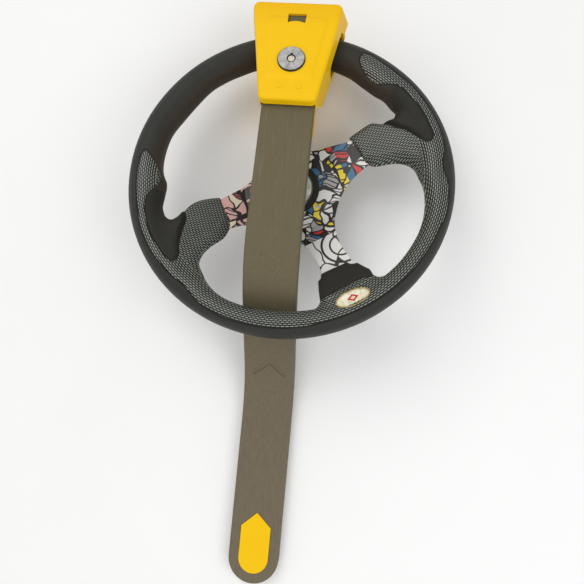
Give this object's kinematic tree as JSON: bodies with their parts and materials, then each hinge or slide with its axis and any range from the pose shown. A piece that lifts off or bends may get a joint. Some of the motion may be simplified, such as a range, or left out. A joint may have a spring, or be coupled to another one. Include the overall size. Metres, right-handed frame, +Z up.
{
  "type": "steering wheel with clamp-on lock bar",
  "caption": "Sports steering wheel with a clamp-on anti-theft lock: a cranked bar crosses the wheel and a keyed yellow head with a hinged jaw holds the rim.",
  "frame": {"origin": "centre of the wheel's six-hole mounting circle, on the spoke plate's rear mounting face", "axes": "+Z up from the level surface the object lies on; +Y along the lock bar from its rounded end towards the lock head; +X to the right seen from the driver's side. The steering axis leans 8.8 degrees from +Z towards +Y"},
  "size_m": [0.35, 0.6433, 0.113],
  "materials": {
    "yellow_plastic": "moulded, satin gloss",
    "bar_moulding": "olive grey, fine grain",
    "arrow_yellow": "moulded, satin",
    "steel": "plain steel",
    "lock_metal": "turned, brushed face",
    "fastener": "zinc plated",
    "pad_rubber": "matt",
    "grip": "moulded skin with a fine leather grain",
    "insert": "soft matt",
    "weave_trim": "printed woven pattern under clear gloss",
    "printed_plate": "printed with abstract coloured shapes",
    "badge_face": "domed",
    "badge_metal": "plated",
    "horn_face": "domed",
    "horn_black": "moulded",
    "contact_brass": "plain"
  },
  "bodies": {
    "wheel_and_bar": {"rim_core": "steel", "rim_grip": "grip", "left_trim": "weave_trim", "right_trim": "weave_trim", "lower_trim": "weave_trim", "left_spoke_cover": "weave_trim", "right_spoke_cover": "weave_trim", "bottom_spoke_cover": "insert", "left_thumb_insert": "insert", "right_thumb_insert": "insert", "badge_bezel": "badge_metal", "badge_plate": "badge_face", "spoke_plate": "printed_plate", "horn_cup": "horn_black", "horn_contact_ring": "contact_brass", "horn_contact": "contact_brass", "horn_spring": "steel", "arm_bar": "steel", "arm_sleeve": "bar_moulding", "arrow_inlay": "arrow_yellow", "cover_screws": "fastener", "case_screws": "fastener", "head_cover": "yellow_plastic", "hinge_bracket": "steel", "hinge_pin": "steel", "hinge_clips": "fastener", "lock_barrel": "lock_metal", "barrel_gasket": "pad_rubber", "lock_case": "lock_metal", "case_plate": "steel", "bar_pad": "pad_rubber"},
    "jaw": {"jaw_plate": "steel", "jaw_screws": "fastener", "jaw_shell": "yellow_plastic", "jaw_pad": "pad_rubber"},
    "key": {"key_core": "lock_metal", "core_cam": "steel"},
    "bolt": {"lock_bolt": "steel"},
    "horn": {"horn_button": "horn_face"}
  },
  "joints": [
    {"name": "jaw_hinge", "type": "hinge", "parent": "wheel_and_bar", "child": "jaw", "pos_m": [-0.0067, 0.18932, 0.00712], "axis": [1, 0, 0], "range_deg": [0, 65]},
    {"name": "key_turn", "type": "hinge", "parent": "wheel_and_bar", "child": "key", "pos_m": [-0.0067, 0.12007, 0.02391], "axis": [0, -0.153, -0.9882], "range_deg": [0, 90]},
    {"name": "bolt_slide", "type": "slide", "parent": "wheel_and_bar", "child": "bolt", "axis": [0, -0.9882, 0.153], "range_m": [0, 0.008]},
    {"name": "horn_press", "type": "slide", "parent": "wheel_and_bar", "child": "horn", "axis": [0, -0.153, -0.9882], "range_m": [0, 0.0025], "stiffness_N_per_m": 900, "springref_m": -0.004, "deforming": ["horn_spring"]}
  ],
  "couplings": [
    {"joint": "key_turn", "follows": "bolt_slide", "rad_per_m": 196.35}
  ]
}
